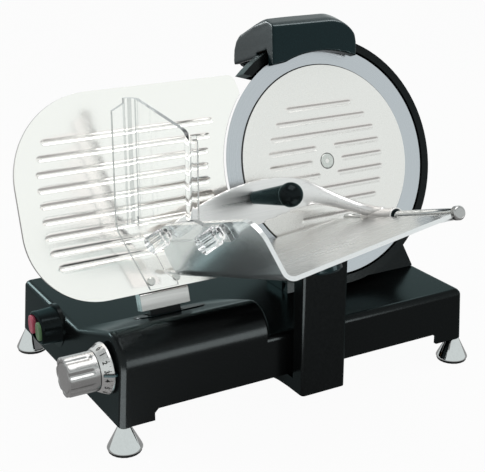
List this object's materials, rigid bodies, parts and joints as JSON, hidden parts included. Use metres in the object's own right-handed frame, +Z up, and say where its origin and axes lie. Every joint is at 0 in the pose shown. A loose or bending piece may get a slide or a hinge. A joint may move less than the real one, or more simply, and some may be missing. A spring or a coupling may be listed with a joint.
{
  "type": "electric food slicer",
  "caption": "Gravity-feed electric food slicer: round leaning blade, gauge plate set by a dial, sliding tilted tray with pusher and clear hand guard, sharpener on top, cone feet.",
  "frame": {"origin": "on the table, under the middle of the outline", "axes": "+X right along the carriage stroke, +Y to the rear, +Z up"},
  "size_m": [0.4862, 0.4371, 0.3749],
  "materials": {
    "black_paint": "smooth gloss black paint on cast aluminium",
    "black_plastic": "gloss black moulding",
    "satin_aluminium": "pale satin anodised",
    "brushed_aluminium": "brushed and polished",
    "blade_steel": "ground and polished",
    "chrome": "bright chrome",
    "machined_steel": "machined",
    "bronze": "sintered bush",
    "rubber": "matt black rubber",
    "clear_plastic": "clear moulded plastic",
    "red_plastic": "gloss red moulding",
    "green_plastic": "gloss green moulding",
    "abrasive": "bonded grit"
  },
  "bodies": {
    "frame": {"base_casting": "black_paint", "bottom_cover": "machined_steel", "foot_front_left": "chrome", "foot_front_right": "chrome", "foot_rear_left": "chrome", "foot_rear_right": "chrome", "foot_pad_front_left": "rubber", "foot_pad_front_right": "rubber", "foot_pad_rear_left": "rubber", "foot_pad_rear_right": "rubber", "switch_housing": "black_plastic", "switch_block": "black_plastic", "dial_pointer": "black_plastic", "gauge_guide_rod": "machined_steel", "blade_support": "black_paint", "ring_guard": "black_paint", "bearing_front": "machined_steel", "bearing_rear": "machined_steel", "blade_cover": "satin_aluminium", "cover_screw": "machined_steel", "cover_tie_rod": "machined_steel", "drive_belt": "rubber", "motor": "machined_steel", "motor_cover": "black_paint", "slide_rod": "machined_steel", "guide_bar": "machined_steel"},
    "thickness_control": {"thickness_knob": "satin_aluminium", "thickness_dial": "satin_aluminium", "knob_shaft": "machined_steel", "thickness_cam": "machined_steel"},
    "gauge": {"gauge_slide": "machined_steel", "gauge_bracket": "chrome", "gauge_plate": "satin_aluminium", "gauge_screw_1": "machined_steel", "gauge_screw_2": "machined_steel"},
    "blade_rotor": {"blade": "blade_steel", "blade_shaft": "machined_steel", "blade_pulley": "brushed_aluminium"},
    "motor_rotor": {"motor_pulley": "machined_steel"},
    "start": {"start_button": "green_plastic"},
    "stop": {"stop_button": "red_plastic"},
    "carriage": {"carriage_arm": "black_paint", "slide_bush": "bronze", "slide_shoe": "black_plastic", "tray": "brushed_aluminium", "pusher_rod": "chrome", "rod_cap": "satin_aluminium", "hand_guard": "clear_plastic"},
    "tray_clamp": {"tray_clamp_knob": "black_plastic"},
    "guard_screw_front": {"guard_knob_front": "clear_plastic"},
    "guard_screw_rear": {"guard_knob_rear": "clear_plastic"},
    "pusher_sleeve": {"pusher_bush": "black_plastic"},
    "pusher": {"pusher_arm": "brushed_aluminium", "pusher_handle": "black_plastic"},
    "sharpener": {"sharpener_hood": "black_plastic", "sharpener_post": "machined_steel"},
    "grinder_left": {"grindstone_left": "abrasive", "stone_button_left": "black_plastic"},
    "grinder_right": {"grindstone_right": "abrasive", "stone_button_right": "black_plastic"}
  },
  "joints": [
    {"name": "carriage_slide", "type": "slide", "parent": "frame", "child": "carriage", "axis": [1, 0, 0], "range_m": [-0.14, 0.125]},
    {"name": "pusher_slide", "type": "slide", "parent": "carriage", "child": "pusher_sleeve", "axis": [0, -0.9519, 0.3065], "range_m": [0, 0.08]},
    {"name": "pusher_lift", "type": "hinge", "parent": "pusher_sleeve", "child": "pusher", "pos_m": [0.11287, -0.04623, 0.1825], "axis": [0, 0.9519, -0.3065], "range_deg": [0, 100]},
    {"name": "gauge_slide", "type": "slide", "parent": "frame", "child": "gauge", "axis": [0, 0.9519, -0.3065], "range_m": [-0.003, 0.012]},
    {"name": "thickness_turn", "type": "hinge", "parent": "frame", "child": "thickness_control", "pos_m": [-0.19253, -0.03042, 0.0775], "axis": [1, 0, 0], "range_deg": [-66.5, 264.5]},
    {"name": "blade_spin", "type": "hinge", "parent": "frame", "child": "blade_rotor", "pos_m": [0.10687, 0.05159, 0.21876], "axis": [0, -0.9519, 0.3065], "continuous": true},
    {"name": "motor_spin", "type": "hinge", "parent": "frame", "child": "motor_rotor", "pos_m": [0.15487, 0.10277, 0.16236], "axis": [0, -0.9519, 0.3065], "continuous": true},
    {"name": "start_press", "type": "slide", "parent": "frame", "child": "start", "axis": [1, 0, 0], "range_m": [0, 0.0025], "stiffness_N_per_m": 400},
    {"name": "stop_press", "type": "slide", "parent": "frame", "child": "stop", "axis": [1, 0, 0], "range_m": [0, 0.0025], "stiffness_N_per_m": 400},
    {"name": "tray_clamp_turn", "type": "hinge", "parent": "carriage", "child": "tray_clamp", "pos_m": [0.00091, -0.11232, 0.17302], "axis": [-0.0953, 0.3051, 0.9475], "continuous": true},
    {"name": "guard_front_turn", "type": "hinge", "parent": "carriage", "child": "guard_screw_front", "pos_m": [-0.13984, -0.14861, 0.23649], "axis": [0.9306, 0.1122, 0.3484], "continuous": true},
    {"name": "guard_rear_turn", "type": "hinge", "parent": "carriage", "child": "guard_screw_rear", "pos_m": [-0.13984, -0.04676, 0.20369], "axis": [0.9306, 0.1122, 0.3484], "continuous": true},
    {"name": "sharpener_lift", "type": "slide", "parent": "frame", "child": "sharpener", "axis": [0, 0.3065, 0.9519], "range_m": [0, 0.02]},
    {"name": "grinder_left_press", "type": "slide", "parent": "sharpener", "child": "grinder_left", "axis": [0, -0.9519, 0.3065], "range_m": [0, 0.005], "stiffness_N_per_m": 400},
    {"name": "grinder_right_press", "type": "slide", "parent": "sharpener", "child": "grinder_right", "axis": [0, -0.9519, 0.3065], "range_m": [0, 0.005], "stiffness_N_per_m": 400}
  ],
  "couplings": [
    {"joint": "thickness_turn", "follows": "gauge_slide", "rad_per_m": 383.97},
    {"joint": "motor_spin", "follows": "blade_spin", "ratio": 3.1667}
  ]
}
